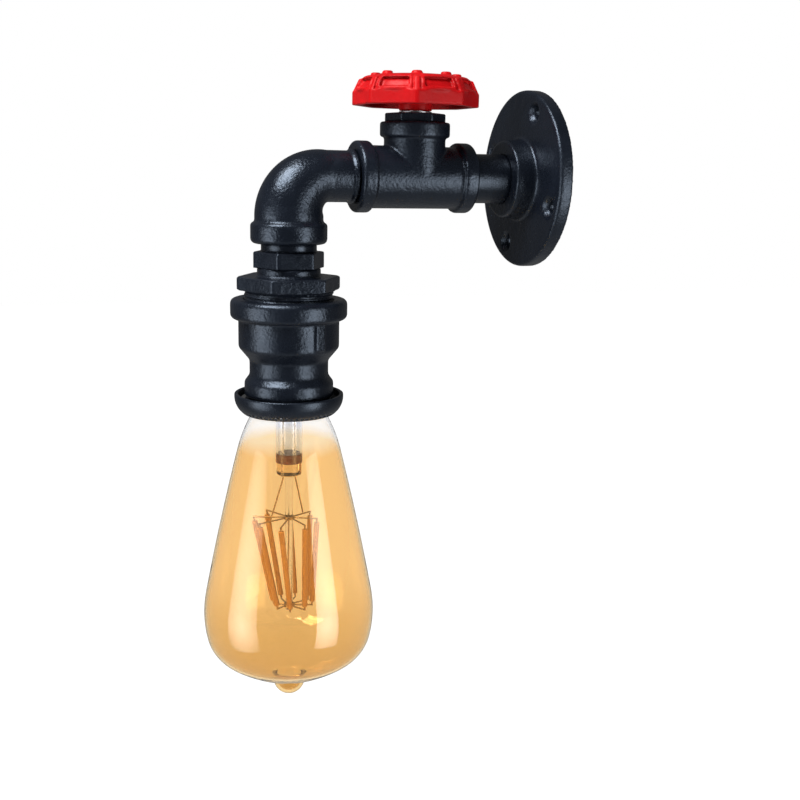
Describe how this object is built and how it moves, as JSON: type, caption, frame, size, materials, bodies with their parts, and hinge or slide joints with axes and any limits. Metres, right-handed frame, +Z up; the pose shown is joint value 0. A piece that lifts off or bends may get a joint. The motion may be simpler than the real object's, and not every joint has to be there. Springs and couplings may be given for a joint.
{
  "type": "industrial pipe wall light",
  "caption": "Pipe-fitting wall light: wall flange, tee with a turning red handwheel, elbow, hexagon fittings and bell lampholder with a hanging amber filament lamp.",
  "frame": {"origin": "centre of the wall flange's back face, on the wall and on the arm's axis", "axes": "+Y into the wall, -Y out along the arm, +Z up, the lamp hangs along -Z, +X to the right when facing the wall"},
  "size_m": [0.077, 0.1496, 0.2747],
  "materials": {
    "cast_black": "satin blue-black paint over cast iron",
    "pipe_black": "satin blue-black paint over steel pipe",
    "ring_black": "satin black paint, worn on the teeth",
    "wheel_red": "gloss red paint",
    "zinc_steel": "zinc plated",
    "brass_terminal": "bare brass",
    "phenolic": "moulded phenolic",
    "nickel_shell": "nickel plated brass",
    "black_rubber": "black rubber",
    "brown_insulation": "silicone insulation",
    "blue_insulation": "silicone insulation",
    "green_insulation": "silicone insulation",
    "copper": "tinned copper strands",
    "black_glass": "black vitreous insulator",
    "cement": "cap cement",
    "board": "white circuit board",
    "board_parts": "moulded components",
    "amber_glass": "amber tinted glass",
    "clear_glass": "clear glass stem",
    "brown_seal": "dark glass to metal seal",
    "ivory_collar": "pressed glass collar",
    "cage_wire": "nickel wire",
    "phosphor": "orange silicone and phosphor coating"
  },
  "bodies": {
    "fixture": {"wall_flange": "cast_black", "flange_nipple": "pipe_black", "tee": "cast_black", "street_elbow": "cast_black", "hex_nipple": "pipe_black", "reducing_bushing": "cast_black", "bell_reducer": "cast_black", "hollow_stud": "zinc_steel", "stud_nut": "zinc_steel", "upper_stud_washer": "zinc_steel", "lower_stud_washer": "zinc_steel", "earth_tag": "brass_terminal", "lampholder_cap": "phenolic", "lampholder_body": "phenolic", "contact_block": "phenolic", "live_terminal": "brass_terminal", "neutral_terminal": "brass_terminal", "terminal_screws": "zinc_steel", "socket_shell": "nickel_shell", "socket_centre_contact": "brass_terminal", "live_wire": "brown_insulation", "neutral_wire": "blue_insulation", "earth_wire": "green_insulation", "wire_tips": "copper", "branch_plug": "cast_black", "stem_seal": "black_rubber", "thrust_washer": "zinc_steel"},
    "wheel": {"handwheel": "wheel_red", "wheel_stem": "zinc_steel", "stem_clip": "zinc_steel", "screw_washer": "zinc_steel", "wheel_screw": "zinc_steel"},
    "ring_drop": {"ring_washer": "black_rubber"},
    "shade_ring": {"shade_ring": "ring_black"},
    "bulb_drop": {"cap_centre_contact": "brass_terminal"},
    "bulb": {"cap_shell": "nickel_shell", "cap_insulator": "black_glass", "cap_cement": "cement", "driver_board": "board", "driver_parts": "board_parts", "bulb_glass": "amber_glass", "stem_tube": "clear_glass", "stem_seal_ring": "brown_seal", "stem_collar": "ivory_collar", "centre_rod": "clear_glass", "lead_wires": "cage_wire", "cage_top_wires": "cage_wire", "cage_bottom_wires": "cage_wire", "filament_tabs": "cage_wire", "filament_1": "phosphor", "filament_2": "phosphor", "filament_3": "phosphor", "filament_4": "phosphor", "filament_5": "phosphor", "filament_6": "phosphor", "filament_7": "phosphor", "filament_8": "phosphor"}
  },
  "joints": [
    {"name": "wheel_turn", "type": "hinge", "parent": "fixture", "child": "wheel", "pos_m": [0, -0.0565, 0.03], "axis": [0, 0, 1], "continuous": true},
    {"name": "ring_drop", "type": "slide", "parent": "fixture", "child": "ring_drop", "axis": [0, 0, -1], "range_m": [0, 0.002]},
    {"name": "ring_turn", "type": "hinge", "parent": "ring_drop", "child": "shade_ring", "pos_m": [0, -0.112, -0.094], "axis": [0, 0, -1], "range_deg": [0, 360]},
    {"name": "bulb_drop", "type": "slide", "parent": "fixture", "child": "bulb_drop", "axis": [0, 0, -1], "range_m": [0, 0.0218]},
    {"name": "bulb_turn", "type": "hinge", "parent": "bulb_drop", "child": "bulb", "pos_m": [0, -0.112, -0.096], "axis": [0, 0, -1], "range_deg": [0, 2160]}
  ],
  "couplings": [
    {"joint": "ring_drop", "follows": "ring_turn", "m_per_rad": 0.00031831},
    {"joint": "bulb_drop", "follows": "bulb_turn", "m_per_rad": 0.00057773}
  ]
}
